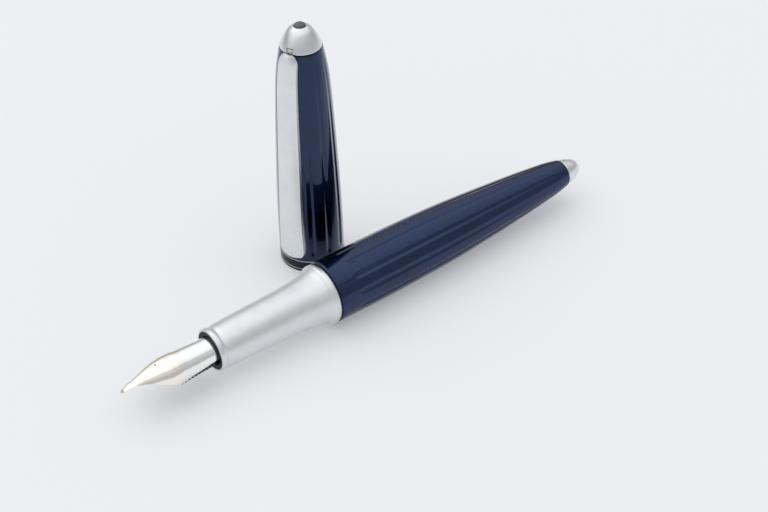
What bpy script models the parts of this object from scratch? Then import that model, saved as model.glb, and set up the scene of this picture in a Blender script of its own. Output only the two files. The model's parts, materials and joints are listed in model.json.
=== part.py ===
"""Fountain pen, uncapped and lying on a table, with its cap standing beside it on its open end.

The pen lies along X with its nib towards -X; the cap stands behind it at +Y. Every size below is in
millimetres, and turns into metres as each mesh is made. Pen pieces are drawn on a local X axis that
starts at the nib's tip, cap pieces on a local Z axis that starts at the cap's rim.
"""

import math

import bmesh
import bpy
from mathutils import Matrix

MM = 0.001

# Driving dimensions of the two assemblies.
PEN_LENGTH = 128.5
BARREL_RADIUS = 7.25
CAP_HEIGHT = 62.5
RIM_RADIUS = 7.45
CAP_RADIUS = 7.55
CAP_ALONG_PEN = 64.1
CAP_BEHIND_PEN = 20.9
CLIP_BEARING = 202.0

# Clearances: between fixed pieces, and between pieces that move.
FIT = 0.1
RUNNING = 0.12

# Flutes: narrow channels milled along barrel and cap, which grow shallower away from the mouth.
# Turns are in degrees, from the middle of the land between two channels.
FLUTES = 12
BARREL_TURN = -0.8
CAP_TURN = 20.3
FLUTE_DEPTH = 0.35
FLUTE_END_DEPTH = 0.1
RIDGE_HALF_DEG = 10.4
CHANNEL_HALF_DEG = 3.0
FLUTE_RUN_OUT = 0.6

# Stations along the pen, from the nib's tip.
NIB_LENGTH = 31.0
NIB_SHEET = 0.32
LIP_X = 22.0
FLANGE_END = 51.9
BARREL_START = 52.4
BARREL_END = 123.2
SPIGOT_END = 60.9
NIB_COLLAR = (22.3, 36.6)
BARREL_FLUTES = (57.8, 118.6)
SECTION_BORE = 4.45
NIB_RADIUS = 3.3
FEED_RADIUS = 2.85

# Converter, from its mouth over the nipple to the end of its knob.
NIPPLE = (41.5, 47.0)
NIPPLE_RADIUS = 1.15
TUBE = (42.2, 86.0)
TUBE_RADIUS = 3.5
CHAMBER_RADIUS = 2.85
FERRULE = (78.0, 95.0)
KNOB_END = 110.0
ROD_RADIUS = 1.0
PISTON = (50.2, 53.4)
ROD_END = 91.6

# Heights in the cap, from its rim.
SHELL_TOP = 56.9
LINER = (12.0, 52.3)
CAP_FLUTES = (5.0, 54.6)
CARRIER = (52.8, 53.6)
PIN_HEIGHT = 54.9
PIN_REACH = 3.0
PIN_RADIUS = 0.4
CLIP_BOTTOM = 4.7
CLIP_TOP = 57.3
CLIP_STAND_OFF = 0.35
CLIP_SHEET = 0.8
TAB_HALF = 0.8
TAB_TOP = 57.6
RECESS_DEPTH_X = 3.5
RECESS_TOP = 58.2

BARREL_OUTER = [
    (BARREL_START, 7.1), (58.0, 7.2), (64.0, BARREL_RADIUS), (74.0, 7.14), (86.0, 6.78),
    (96.0, 6.17), (105.0, 5.48), (112.0, 4.87), (117.0, 4.35), (120.5, 3.92), (BARREL_END, 3.4),
]
CAP_OUTER = [
    (0.0, RIM_RADIUS), (2.5, CAP_RADIUS), (12.0, 7.53), (20.0, 7.32), (30.0, 6.95),
    (40.0, 6.52), (47.0, 6.13), (52.0, 5.65), (SHELL_TOP, 4.74),
]
GRIP_OUTER = [
    (LIP_X, 4.6), (22.4, 4.86), (23.1, 4.95), (23.9, 4.84), (24.3, 4.64), (24.8, 4.64),
    (25.2, 4.86), (28.5, 5.06), (34.0, 5.2), (41.0, 5.24), (45.0, 5.42), (48.0, 5.85),
    (49.8, 6.48), (50.8, 6.98), (51.2, 7.1), (FLANGE_END, 7.1),
]
# Nib sections: distance from the tip, half width, height of the crown, height of the edge.
NIB_SECTIONS = [
    (0.4, 0.42, 1.24, 1.12), (2.6, 1.0, 1.95, 1.65), (4.8, 1.8, 2.7, 1.6), (7.0, 2.8, 3.3, 1.15),
    (9.0, 3.45, 3.7, 0.2), (11.0, 3.85, 3.85, -0.65), (12.4, 3.57, 3.85, -1.44), (15.0, 3.47, 3.6, -0.95),
    (18.0, 3.4, 3.45, -0.6), (LIP_X, NIB_RADIUS, NIB_RADIUS, -0.14),
    (NIB_LENGTH, NIB_RADIUS, NIB_RADIUS, -0.14),
]
TIPPING_RADIUS = 0.42
SLIT_WIDTH = 0.12
BREATHER = (8.6, 0.3)
SEAL_RADII = (5.62, 6.95)
# Feed sections: distance from the tip, height of the centre, radius.
FEED_HORN = [(4.8, 1.45, 0.3), (7.2, 1.15, 1.1), (10.0, 0.5, 2.1)]
FEED_END = 35.0
FINS = 9
FIN_START = 12.9
FIN_PITCH = 0.9
FIN_RADII = [(12.9, 3.6), (22.0, 3.12)]
FIN_ROOT = 2.5
FIN_FROM_DEG = 115.0


def clear_scene():
    for thing in list(bpy.data.objects):
        bpy.data.objects.remove(thing, do_unlink=True)


def finish(name, colour, roughness, metallic):
    made = bpy.data.materials.new(name)
    made.use_nodes = True
    shader = made.node_tree.nodes["Principled BSDF"]
    shader.inputs["Base Color"].default_value = (*colour, 1.0)
    shader.inputs["Roughness"].default_value = roughness
    shader.inputs["Metallic"].default_value = metallic
    return made


def finishes():
    return {
        "navy": finish("navy_lacquer", (0.012, 0.022, 0.075), 0.25, 0.3),
        "satin": finish("satin_silver", (0.62, 0.63, 0.65), 0.35, 1.0),
        "nib": finish("nib_steel", (0.85, 0.76, 0.6), 0.18, 1.0),
        "black": finish("black_plastic", (0.012, 0.012, 0.014), 0.4, 0.0),
        "rubber": finish("black_rubber", (0.02, 0.02, 0.022), 0.6, 0.0),
        "brass": finish("brass", (0.72, 0.5, 0.2), 0.35, 1.0),
        "steel": finish("spring_steel", (0.5, 0.5, 0.52), 0.3, 1.0),
        "clear": finish("clear_plastic", (0.85, 0.88, 0.9), 0.1, 0.0),
        "liner": finish("grey_plastic", (0.25, 0.26, 0.28), 0.45, 0.0),
        "inlay": finish("dark_enamel", (0.05, 0.05, 0.06), 0.25, 0.0),
    }


def axis_empty(name, x, y, z, turn_deg=0.0):
    empty = bpy.data.objects.new(name, None)
    empty.location = (x * MM, y * MM, z * MM)
    empty.rotation_euler = (0.0, 0.0, math.radians(turn_deg))
    bpy.context.scene.collection.objects.link(empty)
    return empty


def add_object(name, mesh_data, material, parent):
    """Turns a bmesh in millimetres into a named object, with its faces pointing out."""
    bmesh.ops.recalc_face_normals(mesh_data, faces=mesh_data.faces)
    if mesh_data.calc_volume(signed=True) < 0:
        bmesh.ops.reverse_faces(mesh_data, faces=mesh_data.faces)
    mesh_data.transform(Matrix.Scale(MM, 4))
    mesh = bpy.data.meshes.new(name)
    mesh_data.to_mesh(mesh)
    mesh_data.free()
    mesh.shade_smooth()
    mesh.set_sharp_from_angle(angle=math.radians(35))
    thing = bpy.data.objects.new(name, mesh)
    thing.parent = parent
    if material:
        mesh.materials.append(material)
    bpy.context.scene.collection.objects.link(thing)
    return thing


def cut(thing, tools, operation="DIFFERENCE"):
    """Applies a Boolean with each tool to an object; the tools stay as hidden wire guides."""
    for tool in tools:
        change = thing.modifiers.new(tool.name, "BOOLEAN")
        change.operation = operation
        change.solver = "EXACT"
        change.object = tool
        tool.hide_render = True
        tool.display_type = "WIRE"


def even_angles(sides):
    return [math.tau * step / sides for step in range(sides)]


def flute_angles():
    """Angles round a fluted shell: three on each land, two on each channel floor."""
    pitch = 360.0 / FLUTES
    floor = (pitch / 2 - CHANNEL_HALF_DEG, pitch / 2 + CHANNEL_HALF_DEG)
    steps = (-RIDGE_HALF_DEG, 0.0, RIDGE_HALF_DEG, *floor)
    return [math.radians(ridge * pitch + step) for ridge in range(FLUTES) for step in steps]


def in_channel(angle):
    """True on a channel floor, where the angle is measured from the middle of a land."""
    pitch = 360.0 / FLUTES
    from_ridge = abs((math.degrees(angle) + pitch / 2) % pitch - pitch / 2)
    return from_ridge > RIDGE_HALF_DEG + 0.5


def on_x(along, radius, angle):
    return (along, -radius * math.sin(angle), radius * math.cos(angle))


def on_z(along, radius, angle):
    return (radius * math.cos(angle), radius * math.sin(angle), along)


def interpolate(profile, along):
    """Radius of a profile at one station, on the straight line between its two neighbours."""
    for (start, low), (end, high) in zip(profile, profile[1:]):
        if start <= along <= end:
            return low + (high - low) * (along - start) / (end - start)
    return profile[-1][1]


def skin(mesh_data, rings, closed):
    """Joins rings of vertices with faces; a ring of one vertex is a pole."""
    pairs = list(zip(rings, rings[1:]))
    if closed:
        pairs.append((rings[-1], rings[0]))
    for first, second in pairs:
        count = max(len(first), len(second))
        for step in range(count):
            after = (step + 1) % count
            if len(first) == 1 and len(second) == 1:
                break
            if len(first) == 1:
                corners = (first[0], second[step], second[after])
            elif len(second) == 1:
                corners = (first[step], second[0], first[after])
            else:
                corners = (first[step], second[step], second[after], first[after])
            mesh_data.faces.new(corners)


def turned(name, profile, material, parent, sides=24, axis=on_x):
    """Turns a profile of (along, radius) round an axis: open at the axis, or a closed ring."""
    mesh_data = bmesh.new()
    rings = []
    for along, radius in profile:
        angles = even_angles(sides) if radius > 0 else [0.0]
        rings.append([mesh_data.verts.new(axis(along, radius, angle)) for angle in angles])
    skin(mesh_data, rings, closed=profile[0][1] > 0)
    return add_object(name, mesh_data, material, parent)


def flute_depth(along, flutes):
    """Depth of a channel at one station; it grows shallower away from the mouth."""
    start, end = flutes
    if not start < along < end:
        return 0.0
    return FLUTE_DEPTH + (FLUTE_END_DEPTH - FLUTE_DEPTH) * (along - start) / (end - start)


def fluted_shell(name, outer, inner, flutes, turn_deg, material, parent, axis):
    """A shell whose outer profile has channels between two stations."""
    start, end = flutes
    turn = math.radians(turn_deg)
    stations = {along: radius for along, radius in outer}
    for along in (start, start + FLUTE_RUN_OUT, end - FLUTE_RUN_OUT, end):
        stations[along] = interpolate(outer, along)
    mesh_data = bmesh.new()
    rings = []
    for along in sorted(stations):
        depth = flute_depth(along, flutes)
        ring = []
        for angle in flute_angles():
            radius = stations[along] - (depth if in_channel(angle) else 0.0)
            ring.append(mesh_data.verts.new(axis(along, radius, angle + turn)))
        rings.append(ring)
    for along, radius in inner:
        points = [axis(along, radius, angle + turn) for angle in flute_angles()]
        rings.append([mesh_data.verts.new(point) for point in points])
    skin(mesh_data, rings, closed=True)
    return add_object(name, mesh_data, material, parent)


def block(name, low, high, material, parent):
    """A box between two corners."""
    mesh_data = bmesh.new()
    bmesh.ops.create_cube(mesh_data, size=1.0)
    for corner in mesh_data.verts:
        corner.co = [a + (b - a) * (c + 0.5) for a, b, c in zip(low, high, corner.co)]
    return add_object(name, mesh_data, material, parent)


def rod(name, centre, radius, length, axis_name, material, parent, sides=16):
    """A plain round bar, centred on a point, along one local axis."""
    mesh_data = bmesh.new()
    bmesh.ops.create_cone(
        mesh_data, cap_ends=True, segments=sides, radius1=radius, radius2=radius, depth=length
    )
    turns = {"X": Matrix.Rotation(math.pi / 2, 4, "Y"), "Y": Matrix.Rotation(math.pi / 2, 4, "X")}
    if axis_name in turns:
        mesh_data.transform(turns[axis_name])
    mesh_data.transform(Matrix.Translation(centre))
    return add_object(name, mesh_data, material, parent)


# ---- writing end ---------------------------------------------------------------------------------


def nib_section(half_width, crown, edge, sheet, columns=12):
    """Outer and inner points of one arc through the crown and both edges."""
    rise = crown - edge
    radius = (half_width**2 + rise**2) / (2 * rise)
    centre = crown - radius
    reach = math.atan2(half_width, edge - centre)
    angles = [reach * (2 * step / columns - 1) for step in range(columns + 1)]
    outer = [(radius * math.sin(a), centre + radius * math.cos(a)) for a in angles]
    inner = [((radius - sheet) * math.sin(a), centre + (radius - sheet) * math.cos(a)) for a in angles]
    return outer + inner[::-1]


def nib(look, pen):
    """Curved sheet with two tines, a slit, a breather hole and a ball of tipping."""
    mesh_data = bmesh.new()
    rings = []
    for along, half_width, crown, low in NIB_SECTIONS:
        points = nib_section(half_width, crown, low, NIB_SHEET)
        rings.append([mesh_data.verts.new((along, y, z)) for y, z in points])
    skin(mesh_data, rings, closed=False)
    for ring in (rings[0], rings[-1]):
        half = len(ring) // 2
        for step in range(half - 1):
            mesh_data.faces.new((ring[step], ring[step + 1], ring[-2 - step], ring[-1 - step]))
    sheet = add_object("nib", mesh_data, look["nib"], pen)

    ball_data = bmesh.new()
    bmesh.ops.create_uvsphere(ball_data, u_segments=12, v_segments=8, radius=TIPPING_RADIUS)
    ball_data.transform(Matrix.Translation((TIPPING_RADIUS, 0.0, 1.0)))
    ball = add_object("tipping_guide", ball_data, None, pen)
    hole_x, hole_radius = BREATHER
    breather = rod("breather_guide", (hole_x, 0.0, 3.0), hole_radius, 3.0, "Z", None, pen, 12)
    slit = block("slit_guide", (-1.0, -SLIT_WIDTH / 2, 0.0), (hole_x, SLIT_WIDTH / 2, 6.0), None, pen)
    cut(sheet, [ball], "UNION")
    cut(sheet, [breather, slit])


def feed(look, pen):
    """Ink feed: a horn under the tines, then a round bar whose lower half is cut into fins."""
    rounds = [(along, centre, radius, radius) for along, centre, radius in FEED_HORN]
    rounds.append((FIN_START - FIN_PITCH / 2, 0.0, FEED_RADIUS, FEED_RADIUS))
    for fin in range(FINS):
        start = FIN_START + fin * FIN_PITCH
        middle = start + FIN_PITCH / 2
        fin_radius = interpolate(FIN_RADII, middle)
        rounds.append((start, 0.0, FEED_RADIUS, FIN_ROOT))
        rounds.append((start + 0.05, 0.0, FEED_RADIUS, fin_radius))
        rounds.append((middle, 0.0, FEED_RADIUS, fin_radius))
        rounds.append((middle + 0.05, 0.0, FEED_RADIUS, FIN_ROOT))
    rounds.append((FIN_START + FINS * FIN_PITCH, 0.0, FEED_RADIUS, FEED_RADIUS))
    rounds.append((FEED_END, 0.0, FEED_RADIUS, FEED_RADIUS))
    mesh_data = bmesh.new()
    rings = []
    for along, centre, upper, lower in rounds:
        ring = []
        for angle in even_angles(16):
            below = math.cos(angle) < math.cos(math.radians(FIN_FROM_DEG))
            x, y, z = on_x(along, lower if below else upper, angle)
            ring.append(mesh_data.verts.new((x, y, z + centre)))
        rings.append(ring)
    skin(mesh_data, rings, closed=False)
    mesh_data.faces.new(rings[0])
    mesh_data.faces.new(rings[-1])
    add_object("feed", mesh_data, look["black"], pen)


def grip(look, pen):
    """Nib collar, metal grip with its flange and threaded spigot, and the liner with the nipple."""
    collar = SECTION_BORE - RUNNING
    bore = NIB_RADIUS + RUNNING
    front, back = NIB_COLLAR
    turned("nib_collar", [(front, collar), (back, collar), (back, bore), (front, bore)], look["black"], pen)
    inside = [
        (FLANGE_END, 5.5), (SPIGOT_END - 0.5, 5.5), (SPIGOT_END, 5.1), (SPIGOT_END, SECTION_BORE),
        (22.3, SECTION_BORE),
    ]
    turned("grip_section", GRIP_OUTER + inside, look["satin"], pen, sides=32)
    shell, bore = SECTION_BORE - FIT, TUBE_RADIUS + 0.3
    liner = [
        (37.0, shell), (59.5, shell), (59.5, bore), (NIPPLE[0], bore), (NIPPLE[0], NIPPLE_RADIUS),
        (NIPPLE[1], NIPPLE_RADIUS), (NIPPLE[1], 0.45), (37.0, 0.45),
    ]
    turned("section_liner", liner, look["black"], pen)


# ---- barrel --------------------------------------------------------------------------------------


def barrel(look, pen):
    """Fluted shell with its thread bushing, the seal ring in front and the finial behind."""
    front, back = FLANGE_END + FIT, BARREL_START - FIT
    inside, outside = SEAL_RADII
    ring = [(front, inside), (front, outside), (back, outside), (back, inside)]
    turned("barrel_seal_ring", ring, look["rubber"], pen, sides=32)
    end_bore = 1.6
    inner = [
        (BARREL_END, end_bore), (118.0, end_bore), (118.0, 3.7), (110.0, 4.45), (98.0, 5.2),
        (62.0, 5.95), (62.0, 6.35), (BARREL_START, 6.35),
    ]
    fluted_shell("barrel_shell", BARREL_OUTER, inner, BARREL_FLUTES, BARREL_TURN, look["navy"], pen, on_x)
    bush = [(52.7, 6.25), (61.7, 6.25), (61.7, 5.65), (52.7, 5.65)]
    turned("barrel_bushing", bush, look["brass"], pen)
    post = end_bore - FIT
    tip = [
        (116.4, 0.0), (116.4, post), (BARREL_END + FIT, post), (BARREL_END + FIT, 3.3), (125.2, 2.84),
        (126.8, 2.28), (127.7, 1.75), (128.2, 1.2), (128.43, 0.6), (PEN_LENGTH, 0.0),
    ]
    turned("tail_finial", tip, look["satin"], pen)
    nut = [(116.2, 3.1), (117.8, 3.1), (117.8, end_bore), (116.2, end_bore)]
    turned("tail_nut", nut, look["brass"], pen, sides=12)


# ---- converter -----------------------------------------------------------------------------------


def converter(look, pen):
    """Piston converter: its knob turns a nut that draws the rod and piston along the tube."""
    mouth = NIPPLE_RADIUS + FIT
    tube = [
        (TUBE[0], TUBE_RADIUS), (TUBE[1], TUBE_RADIUS), (TUBE[1], CHAMBER_RADIUS), (48.6, CHAMBER_RADIUS),
        (48.6, 0.6), (47.3, 0.6), (47.3, mouth), (TUBE[0], mouth),
    ]
    turned("converter_tube", tube, look["clear"], pen)
    inside = TUBE_RADIUS + FIT
    outside = inside + 0.3
    ferrule = [(FERRULE[0], outside), (FERRULE[1], outside), (FERRULE[1], inside), (FERRULE[0], inside)]
    turned("converter_ferrule", ferrule, look["steel"], pen)
    sliding = ROD_RADIUS + RUNNING
    guide = [(86.3, TUBE_RADIUS), (88.6, TUBE_RADIUS), (88.6, sliding), (86.3, sliding)]
    turned("converter_guide", guide, look["black"], pen)

    seal_radius = CHAMBER_RADIUS - RUNNING
    seal = [
        (PISTON[0], 0.0), (PISTON[0], seal_radius), (51.2, seal_radius), (51.6, 2.45), (52.2, 2.45),
        (52.6, seal_radius), (PISTON[1], seal_radius), (PISTON[1], 0.0),
    ]
    turned("piston_seal", seal, look["rubber"], pen)
    rod_start = PISTON[1] + FIT
    middle = ((rod_start + ROD_END) / 2, 0.0, 0.0)
    rod("piston_rod", middle, ROD_RADIUS, ROD_END - rod_start, "X", look["black"], pen)

    nut = [(91.0, 2.2), (96.8, 2.2), (96.8, sliding), (91.0, sliding)]
    turned("converter_drive_nut", nut, look["brass"], pen, sides=16)
    bore = sliding + 0.1
    neck = TUBE_RADIUS - FIT
    knob = [
        (109.0, 0.0), (109.0, bore), (97.0, bore), (97.0, 2.3), (88.9, 2.3), (88.9, neck), (95.3, neck),
        (95.3, 3.65), (98.0, 3.65), (98.5, 3.35), (108.8, 3.25), (KNOB_END, 2.6), (KNOB_END, 0.0),
    ]
    turned("converter_knob", knob, look["steel"], pen)


# ---- cap -----------------------------------------------------------------------------------------


def cap_body(look, cap):
    """Fluted shell with a notch for the clip, a closed plastic liner and the snap ring."""
    inner = [
        (SHELL_TOP, 4.15), (52.6, 4.72), (40.0, 5.62), (25.0, 6.25), (11.5, 6.62), (0.0, 6.62),
    ]
    shell = fluted_shell("cap_shell", CAP_OUTER, inner, CAP_FLUTES, CAP_TURN, look["navy"], cap, on_z)
    notch = block("notch_guide", (3.0, -1.3, 53.2), (8.0, 1.3, 58.0), None, cap)
    cut(shell, [notch])
    liner = [
        (51.5, 0.0), (51.5, 4.0), (40.0, 4.94), (25.0, 5.57), (LINER[0], 5.93), (LINER[0], 6.48),
        (25.0, 6.12), (40.0, 5.49), (50.0, 4.78), (LINER[1], 4.58), (LINER[1], 0.0),
    ]
    turned("cap_liner", liner, look["liner"], cap, axis=on_z)
    snap_ring(look, cap)


def snap_ring(look, cap):
    """Split spring ring inside the rim, which holds the cap on the grip."""
    low, high, inside, outside = 7.6, 9.6, 5.85, 6.5
    gap = math.radians(14)
    steps = 22
    mesh_data = bmesh.new()
    rings = []
    for step in range(steps + 1):
        angle = gap + (math.tau - 2 * gap) * step / steps
        section = ((low, outside), (high, outside), (high, inside), (low, inside))
        rings.append([mesh_data.verts.new(on_z(along, radius, angle)) for along, radius in section])
    skin(mesh_data, rings, closed=False)
    mesh_data.faces.new(rings[0])
    mesh_data.faces.new(rings[-1])
    add_object("cap_snap_ring", mesh_data, look["steel"], cap)


def clip(look, cap, hinge):
    """Tapered spring clip: a crowned strap, a knuckle on the pin and a pad that presses on the cap."""
    stations = [CLIP_BOTTOM, 5.5, 8.0, 20.0, 32.0, 44.0, 51.0, 55.3, CLIP_TOP]
    widths = [(CLIP_BOTTOM, 2.1), (5.5, 2.95), (8.0, 3.1), (55.3, 2.25), (CLIP_TOP, 1.6)]
    mesh_data = bmesh.new()
    rings = []
    for height in stations:
        half = interpolate(widths, height)
        near = interpolate(CAP_OUTER, height) + CLIP_STAND_OFF
        far = near + CLIP_SHEET
        edge = far - 0.3
        crown = half * 0.45
        points = ((near, -half), (edge, -half), (far, -crown), (far, crown), (edge, half), (near, half))
        rings.append([mesh_data.verts.new((reach, y, height)) for reach, y in points])
    skin(mesh_data, rings, closed=False)
    mesh_data.faces.new(rings[0])
    mesh_data.faces.new(rings[-1])
    mesh_data.transform(Matrix.Translation((-PIN_REACH, 0.0, -PIN_HEIGHT)))
    strap = add_object("clip", mesh_data, look["satin"], hinge)

    knuckle = block("knuckle_guide", (2.3, -0.95, 53.9), (5.6, 0.95, 56.0), None, cap)
    tab = block("tab_guide", (4.0, -TAB_HALF, 55.6), (4.6, TAB_HALF, TAB_TOP), None, cap)
    pad = rod("pad_guide", (CAP_RADIUS + 0.45, 0.0, 6.4), 0.9, 0.6, "X", None, cap, 12)
    eye = rod("eye_guide", (PIN_REACH, 0.0, PIN_HEIGHT), PIN_RADIUS + RUNNING, 4.0, "Y", None, cap, 16)
    cut(strap, [knuckle, tab, pad], "UNION")
    cut(strap, [eye])


def cap_top(look, cap):
    """Carrier with two ears for the clip's pin, leaf spring, finial with its post and recess, inlay."""
    disc = [(CARRIER[0], 1.45), (CARRIER[0], 4.25), (CARRIER[1], 4.25), (CARRIER[1], 1.45)]
    carrier = turned("clip_carrier", disc, look["brass"], cap, axis=on_z)
    ears = [
        block(f"ear_guide_{side}", (2.2, low, 53.2), (3.75, high, 56.1), None, cap)
        for side, low, high in (("near", -1.6, -1.08), ("far", 1.08, 1.6))
    ]
    pin_centre = (PIN_REACH, 0.0, PIN_HEIGHT)
    pin_hole = rod("pin_hole_guide", pin_centre, PIN_RADIUS + 0.05, 6.0, "Y", None, cap)
    cut(carrier, ears, "UNION")
    cut(carrier, [pin_hole])
    rod("clip_pin", pin_centre, PIN_RADIUS, 3.2, "Y", look["steel"], cap)
    block("clip_spring", (1.6, -0.8, 53.75), (1.95, 0.8, 56.2), look["steel"], cap)

    rim = SHELL_TOP + 0.15
    cone = [
        (53.0, 0.0), (53.0, 1.3), (56.5, 1.3), (56.5, 3.85), (rim, 3.85), (rim, 4.7),
        (58.6, 4.05), (60.2, 3.15), (61.35, 2.1), (61.75, 1.5), (61.3, 1.45), (61.3, 0.0),
    ]
    finial = turned("cap_finial", cone, look["satin"], cap, sides=32, axis=on_z)
    clear = TAB_HALF + 0.25
    recess = block("recess_guide", (RECESS_DEPTH_X, -clear, 56.0), (7.0, clear, RECESS_TOP), None, cap)
    cut(finial, [recess])
    inlay = [(61.4, 0.0), (61.4, 1.35), (61.95, 1.3), (62.3, 0.85), (CAP_HEIGHT, 0.0)]
    turned("finial_inlay", inlay, look["inlay"], cap, axis=on_z)


def main():
    clear_scene()
    look = finishes()
    pen_y = -(CAP_BEHIND_PEN + CAP_RADIUS - BARREL_RADIUS) / 2
    pen = axis_empty("pen_axis", -PEN_LENGTH / 2, pen_y, BARREL_RADIUS)
    cap = axis_empty("cap_axis", CAP_ALONG_PEN - PEN_LENGTH / 2, pen_y + CAP_BEHIND_PEN, 0.0, CLIP_BEARING)
    hinge = axis_empty("clip_hinge", PIN_REACH, 0.0, PIN_HEIGHT)
    hinge.parent = cap
    nib(look, pen)
    feed(look, pen)
    grip(look, pen)
    barrel(look, pen)
    converter(look, pen)
    cap_body(look, cap)
    clip(look, cap, hinge)
    cap_top(look, cap)


main()
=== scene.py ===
"""Looks for a fountain pen and its cap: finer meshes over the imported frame, finishes, light and camera.

Pen pieces are drawn in millimetres on a local X axis that starts at the nib's tip. Cap pieces are
drawn on a local Z axis that starts at the cap's rim, with local +X towards the clip.
"""

import json
import math

import bmesh
import bpy
import numpy as np
from mathutils import Matrix, Vector


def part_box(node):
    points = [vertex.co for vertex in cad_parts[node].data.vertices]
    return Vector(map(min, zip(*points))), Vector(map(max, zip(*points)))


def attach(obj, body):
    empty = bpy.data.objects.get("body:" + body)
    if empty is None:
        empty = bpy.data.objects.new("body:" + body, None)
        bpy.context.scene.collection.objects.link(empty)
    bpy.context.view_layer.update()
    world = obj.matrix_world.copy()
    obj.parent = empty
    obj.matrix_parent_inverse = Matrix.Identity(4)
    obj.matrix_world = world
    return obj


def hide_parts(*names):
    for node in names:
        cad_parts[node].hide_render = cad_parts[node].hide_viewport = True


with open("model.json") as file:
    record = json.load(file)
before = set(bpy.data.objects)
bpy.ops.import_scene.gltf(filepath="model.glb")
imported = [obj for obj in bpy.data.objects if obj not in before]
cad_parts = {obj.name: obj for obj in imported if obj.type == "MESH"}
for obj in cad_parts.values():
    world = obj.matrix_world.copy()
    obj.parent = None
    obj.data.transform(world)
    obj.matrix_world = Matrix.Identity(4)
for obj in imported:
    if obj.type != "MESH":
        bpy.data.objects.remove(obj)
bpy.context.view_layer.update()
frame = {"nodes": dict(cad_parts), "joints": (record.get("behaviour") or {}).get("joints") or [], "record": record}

MM = 0.001
BEHAVIOUR = frame["record"]["behaviour"]
BODY_OF = {node: body for body, nodes in BEHAVIOUR["bodies"].items() for node in nodes}


def middle(node):
    low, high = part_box(node)
    return (low + high) / 2


# Where the pen and the cap are, read from the frame.
PEN_LENGTH = 128.5
PEN_TIP = Vector((
    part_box("tail_finial")[1].x - PEN_LENGTH * MM, middle("barrel_shell").y, middle("barrel_shell").z
))
CLIP_AXIS = next(joint["axis"] for joint in frame["joints"] if joint["name"] == "clip_swing")
CLIP_BEARING = math.atan2(CLIP_AXIS[0], -CLIP_AXIS[1])
CAP_FOOT = Vector((middle("cap_shell").x, middle("cap_shell").y, 0.0))
PEN_PLACE = Matrix.Translation(PEN_TIP)
CAP_PLACE = Matrix.Translation(CAP_FOOT) @ Matrix.Rotation(CLIP_BEARING, 4, "Z")

# Camera: its place from the nib's tip in millimetres (height from the table), and its angles in degrees.
CAMERA_FROM_TIP = (-116.7, -244.1, 254.3)
CAMERA_AZIMUTH = -37.3
CAMERA_ELEVATION = 38.62
CAMERA_ROLL = -1.36
CAMERA_LENS = 81.62

# Light: where the tent is brightest, its strength low down and at its top, what its far side loses low
# down, and the share of its light that the strut lets through; then the key light, in metres and watts.
TENT_TOP = (-0.1, 0.3, 1.0)
TENT_LOW = 0.5
TENT_HIGH = 1.15
FAR_SHADE = -0.4
STRUT_SHARE = 0.45
KEY_PLACE = (-0.12, 0.4, 0.75)
KEY_SIZE = 0.6
KEY_POWER = 0.35

# Floor: half its width in metres, its colour near the object and far off, and the strength of its glow.
FLOOR_HALF = 6.0
FLOOR_NEAR = (0.62, 0.632, 0.645)
FLOOR_FAR = (0.2, 0.21, 0.22)
FLOOR_GLOW = 0.268

# Meshes: the angle above which an edge stays sharp, and what counts as no length at all.
SHARP_DEG = 40
TINY = 1e-6

# Flutes: channels that grow shallower away from the mouth, with walls that slope over WALL_HALF to either
# side. The column steps are the mesh's columns, in degrees from the middle of the land between two
# channels.
FLUTES = 12
FLUTE_DEPTH = 0.3
FLUTE_END_DEPTH = 0.04
CHANNEL_HALF_DEG = 3.7
WALL_HALF = 0.38
CHANNEL_CORNER = 0.45
END_SLOPE = 0.42
BARREL_FLUTES = (57.8, 118.6)
BARREL_TURN = -0.8
CAP_FLUTES = (5.0, 54.6)
CAP_TURN = 20.3
COLUMN_STEPS = (0.0, 4.0, 7.4, 8.6, 9.3, 9.9, 10.4, 10.9, 11.4, 11.9, 12.4, 12.9, 13.4, 14.1, 15.0)

# Eased rims of the fluted shells: (distance in from the end, depth below the outline).
MOUTH_EASE = [(0.0, 0.14), (0.03, 0.06), (0.1, 0.01)]
TIP_EASE = [(0.03, 0.02), (0.0, 0.12)]
TIP_EASE_START = 0.12

# Outlines: (distance along the axis, radius).
BARREL_OUTER = [
    (52.4, 7.1), (58.0, 7.2), (64.0, 7.25), (74.0, 7.14), (86.0, 6.78),
    (96.0, 6.17), (105.0, 5.48), (112.0, 4.87), (117.0, 4.35), (120.5, 3.92), (123.2, 3.4),
]
BARREL_INNER = [
    (123.2, 1.6), (118.0, 1.6), (118.0, 3.7), (110.0, 4.45), (98.0, 5.2),
    (62.0, 5.95), (62.0, 6.35), (52.4, 6.35),
]
CAP_OUTER = [
    (0.0, 7.43), (2.5, 7.5), (7.0, 7.54), (12.0, 7.5), (20.0, 7.32), (30.0, 6.95),
    (40.0, 6.52), (47.0, 6.13), (52.0, 5.65), (56.9, 4.74),
]
CAP_INNER = [(56.9, 4.15), (52.6, 4.72), (40.0, 5.62), (25.0, 6.25), (11.5, 6.62), (0.0, 6.62)]
GRIP_OUTER = [
    (22.0, 4.62), (22.08, 4.76), (22.25, 4.88), (22.5, 4.94), (22.8, 4.95), (23.15, 4.9), (23.4, 4.78),
    (23.6, 4.66), (23.75, 4.61), (23.95, 4.61), (24.1, 4.66), (24.35, 4.79), (24.8, 4.88), (26.0, 4.94),
    (28.5, 5.06), (34.0, 5.22), (41.0, 5.42), (45.0, 5.62), (48.0, 5.98), (49.6, 6.3), (50.3, 6.6),
    (50.7, 6.9), (51.1, 7.07), (51.3, 7.1), (51.8, 7.1), (51.9, 7.04),
]
GRIP_INNER = [(60.9, 5.1), (60.9, 4.47), (22.1, 4.47)]
COLLAR = [(22.15, 4.4), (36.6, 4.4), (36.6, 3.42), (22.15, 3.42)]
THREAD_SPAN = (52.7, 60.4)
THREAD_TOP = 5.5
THREAD_DEPTH = 0.24
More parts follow.
